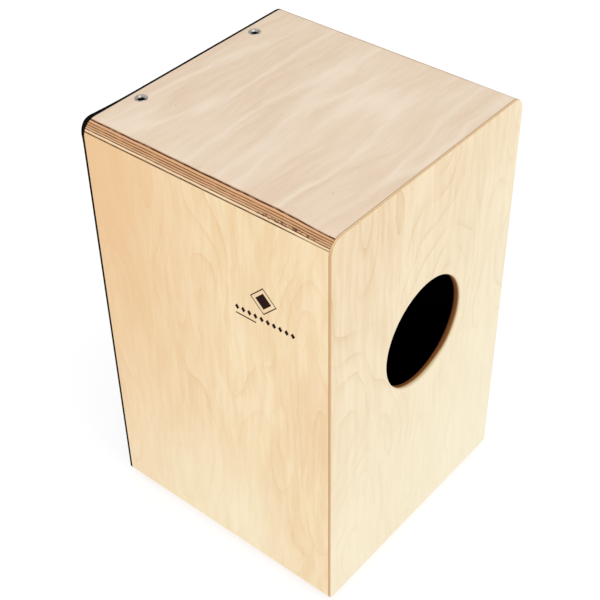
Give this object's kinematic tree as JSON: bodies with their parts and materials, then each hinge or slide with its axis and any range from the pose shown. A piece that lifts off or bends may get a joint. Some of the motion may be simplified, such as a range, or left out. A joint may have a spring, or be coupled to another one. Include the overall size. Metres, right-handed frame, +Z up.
{
  "type": "cajon",
  "caption": "Wooden box drum with a thin front plate to play on, a round sound hole in the back, rubber feet and snare strings tuned by key through the seat.",
  "frame": {"origin": "on the floor, under the middle of the box", "axes": "+Z up; the front plate faces -Y and the sound hole opens towards +Y; +X is the player's right when looking along +Y at the front plate"},
  "size_m": [0.3, 0.302, 0.4885],
  "materials": {
    "seat_ply": "pale satin-lacquered birch plywood, pinkish face, exposed plies at the edges",
    "side_ply": "satin-lacquered birch plywood, warm straw face",
    "back_ply": "thin satin-lacquered birch plywood, pale cream face",
    "inner_ply": "unlacquered birch plywood",
    "black_lacquer": "thin wood plate in satin black lacquer",
    "batten_wood": "planed softwood stained black, like the inner faces",
    "black_screw": "black oxide steel",
    "polished_ring": "polished nickel plate",
    "plain_steel": "zinc-plated steel",
    "string_steel": "wound steel string",
    "brass": "plain brass",
    "foot_rubber": "black rubber"
  },
  "bodies": {
    "box": {"seat": "seat_ply", "base_panel": "inner_ply", "side_panel_left": "side_ply", "side_panel_right": "side_ply", "back_panel": "back_ply", "front_plate": "black_lacquer", "batten_top_left": "batten_wood", "batten_top_right": "batten_wood", "batten_bottom_left": "batten_wood", "batten_bottom_right": "batten_wood", "front_screws_top": "black_screw", "front_screws_bottom": "black_screw", "front_screws_left": "black_screw", "front_screws_right": "black_screw", "tuner_ferrule_left": "polished_ring", "tuner_ferrule_right": "polished_ring", "tuner_bracket_left": "plain_steel", "tuner_bracket_right": "plain_steel", "bracket_screws_left": "plain_steel", "bracket_screws_right": "plain_steel", "snare_strings_left": "string_steel", "snare_strings_right": "string_steel", "bottom_ball_ends": "brass", "string_anchor_angle": "plain_steel", "string_anchor_block": "batten_wood", "anchor_screws": "plain_steel", "foot_front_left": "foot_rubber", "foot_front_right": "foot_rubber", "foot_back_left": "foot_rubber", "foot_back_right": "foot_rubber", "foot_screws": "plain_steel"},
    "tuning_screw_left": {"tuning_screw_left": "black_screw"},
    "carriage_left": {"string_carriage_left": "plain_steel", "top_ball_ends_left": "brass"},
    "tuning_screw_right": {"tuning_screw_right": "black_screw"},
    "carriage_right": {"string_carriage_right": "plain_steel", "top_ball_ends_right": "brass"}
  },
  "joints": [
    {"name": "tuning_screw_turn_left", "type": "hinge", "parent": "box", "child": "tuning_screw_left", "pos_m": [-0.0835, -0.1363, 0.478], "axis": [0, 0, -1], "range_deg": [-720, 1080]},
    {"name": "carriage_slide_left", "type": "slide", "parent": "box", "child": "carriage_left", "axis": [0, 0, 1], "range_m": [-0.0016, 0.0024], "deforming": ["snare_strings_left"]},
    {"name": "tuning_screw_turn_right", "type": "hinge", "parent": "box", "child": "tuning_screw_right", "pos_m": [0.0835, -0.1363, 0.478], "axis": [0, 0, -1], "range_deg": [-720, 1080]},
    {"name": "carriage_slide_right", "type": "slide", "parent": "box", "child": "carriage_right", "axis": [0, 0, 1], "range_m": [-0.0016, 0.0024], "deforming": ["snare_strings_right"]}
  ],
  "couplings": [
    {"joint": "tuning_screw_turn_left", "follows": "carriage_slide_left", "rad_per_m": 7854},
    {"joint": "tuning_screw_turn_right", "follows": "carriage_slide_right", "rad_per_m": 7854}
  ]
}
